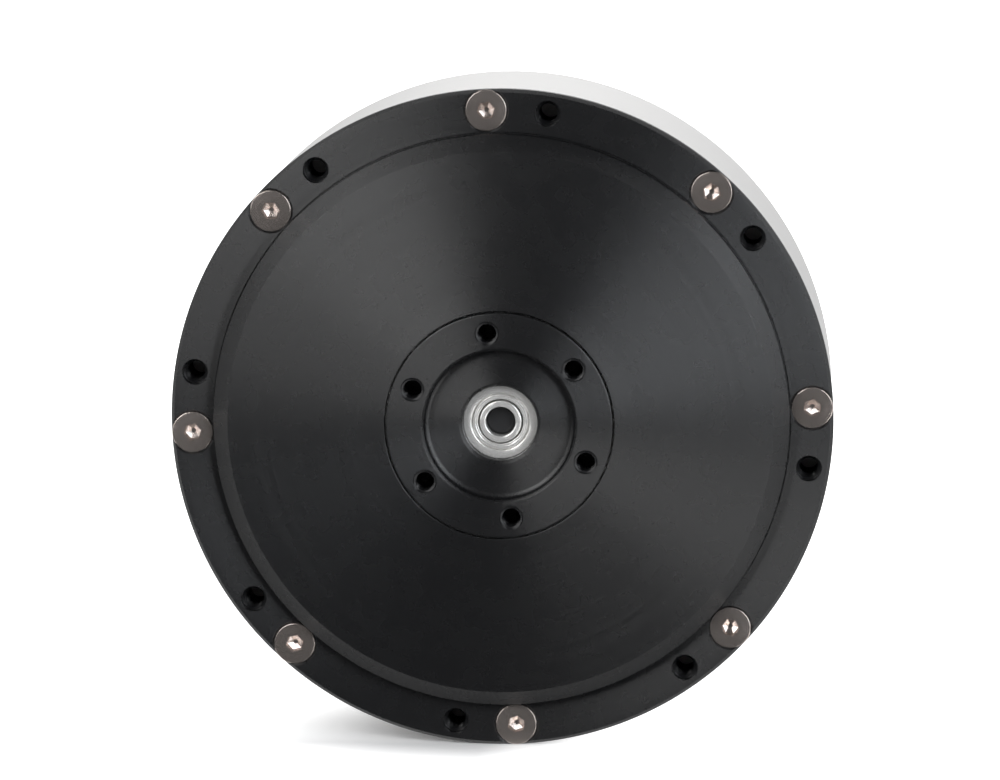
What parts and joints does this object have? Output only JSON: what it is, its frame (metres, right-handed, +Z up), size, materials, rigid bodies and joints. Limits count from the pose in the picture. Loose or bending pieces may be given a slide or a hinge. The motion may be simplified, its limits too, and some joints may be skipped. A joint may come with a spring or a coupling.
{
  "type": "robot joint actuator",
  "caption": "Flat round robot joint actuator: outer-rotor motor round a planetary gear stage, with a bolted output flange and a driver board behind.",
  "frame": {"origin": "on the output axis, in the front face of the mounting rim", "axes": "+Y along the output axis towards the rear cover, the output face looks along -Y; +Z up as the actuator stands on its rim; sockets towards -X"},
  "size_m": [0.0888, 0.0501, 0.0888],
  "materials": {
    "black_anodised": "turned, black anodised",
    "silver_anodised": "fine blasted, clear anodised",
    "bare_aluminium": "as turned",
    "bearing_steel": "ground and polished",
    "gear_steel": "cut and hardened",
    "screw_steel": "nickel plated",
    "lamination_steel": "stacked sheet, lacquered",
    "spring_steel": "phosphated",
    "magnet_nickel": "bright nickel plated",
    "copper_winding": "enamelled wire",
    "bronze": "turned bronze",
    "holder_brass": "turned brass",
    "contact_gold": "gold plated",
    "insulator": "moulded",
    "lead_insulation": "silicone insulated leads",
    "board": "lacquered circuit board",
    "chip_plastic": "moulded package",
    "thermal_pad": "soft filled silicone",
    "capacitor_can": "drawn can",
    "power_plastic": "moulded",
    "signal_plastic": "moulded"
  },
  "bodies": {
    "housing": {"front_cover": "black_anodised", "rim_screws": "screw_steel", "motor_housing": "silver_anodised", "bearing_retainer": "spring_steel", "ring_gear": "gear_steel", "stator_core": "lamination_steel", "stator_end_rings": "insulator", "stator_coils": "copper_winding", "phase_leads": "lead_insulation", "output_bearing_outer": "bearing_steel", "rear_bearing_outer": "bearing_steel", "wave_washer": "spring_steel", "driver_board": "board", "board_screws": "screw_steel", "thermal_pad": "thermal_pad", "mosfets": "chip_plastic", "encoder_sensor": "chip_plastic", "controller_chip": "chip_plastic", "capacitors": "capacitor_can", "power_socket": "power_plastic", "power_pins": "contact_gold", "can_socket": "signal_plastic", "serial_socket": "signal_plastic", "signal_pins": "contact_gold", "rear_cover": "black_anodised", "rear_cover_screws": "screw_steel"},
    "rotor": {"sun_pinion": "gear_steel", "rotor_bell": "bare_aluminium", "flux_ring": "gear_steel", "rotor_magnets": "magnet_nickel", "magnet_holder": "holder_brass", "encoder_magnet": "magnet_nickel", "rear_bearing_inner": "bearing_steel", "tip_bearing_inner": "bearing_steel"},
    "output": {"output_flange": "black_anodised", "carrier_front": "bare_aluminium", "carrier_rear": "bare_aluminium", "carrier_posts": "bare_aluminium", "carrier_screws": "screw_steel", "flange_screws": "screw_steel", "planet_pins": "bearing_steel", "planet_washers": "spring_steel", "output_bearing_inner": "bearing_steel", "tip_bearing_outer": "bearing_steel", "tip_bearing_shields": "bearing_steel"},
    "planet_1": {"planet_gear_1": "gear_steel", "planet_bush_1": "bronze"},
    "planet_2": {"planet_gear_2": "gear_steel", "planet_bush_2": "bronze"},
    "planet_3": {"planet_gear_3": "gear_steel", "planet_bush_3": "bronze"},
    "output_balls": {"output_bearing_balls": "bearing_steel"},
    "rear_balls": {"rear_bearing_balls": "bearing_steel"},
    "tip_balls": {"tip_bearing_balls": "bearing_steel"}
  },
  "joints": [
    {"name": "rotor_spin", "type": "hinge", "parent": "housing", "child": "rotor", "pos_m": [0, 0.02, 0], "axis": [0, -1, 0], "continuous": true},
    {"name": "output_spin", "type": "hinge", "parent": "housing", "child": "output", "pos_m": [0, 0, 0], "axis": [0, -1, 0], "continuous": true},
    {"name": "output_balls_spin", "type": "hinge", "parent": "housing", "child": "output_balls", "pos_m": [0, 0.001, 0], "axis": [0, -1, 0], "continuous": true},
    {"name": "rear_balls_spin", "type": "hinge", "parent": "housing", "child": "rear_balls", "pos_m": [0, 0.0262, 0], "axis": [0, -1, 0], "continuous": true},
    {"name": "tip_balls_spin", "type": "hinge", "parent": "housing", "child": "tip_balls", "pos_m": [0, 0.0006, 0], "axis": [0, -1, 0], "continuous": true},
    {"name": "planet_1_spin", "type": "hinge", "parent": "output", "child": "planet_1", "pos_m": [0.00459, 0.014, 0.01109], "axis": [0, -1, 0], "continuous": true},
    {"name": "planet_2_spin", "type": "hinge", "parent": "output", "child": "planet_2", "pos_m": [-0.0119, 0.014, -0.00157], "axis": [0, -1, 0], "continuous": true},
    {"name": "planet_3_spin", "type": "hinge", "parent": "output", "child": "planet_3", "pos_m": [0.00731, 0.014, -0.00952], "axis": [0, -1, 0], "continuous": true}
  ],
  "couplings": [
    {"joint": "output_spin", "follows": "rotor_spin", "ratio": 0.1},
    {"joint": "output_balls_spin", "follows": "rotor_spin", "ratio": 0.044583},
    {"joint": "rear_balls_spin", "follows": "rotor_spin", "ratio": 0.39655},
    {"joint": "tip_balls_spin", "follows": "rotor_spin", "ratio": 0.44388},
    {"joint": "planet_1_spin", "follows": "rotor_spin", "ratio": -0.225},
    {"joint": "planet_2_spin", "follows": "rotor_spin", "ratio": -0.225},
    {"joint": "planet_3_spin", "follows": "rotor_spin", "ratio": -0.225}
  ]
}
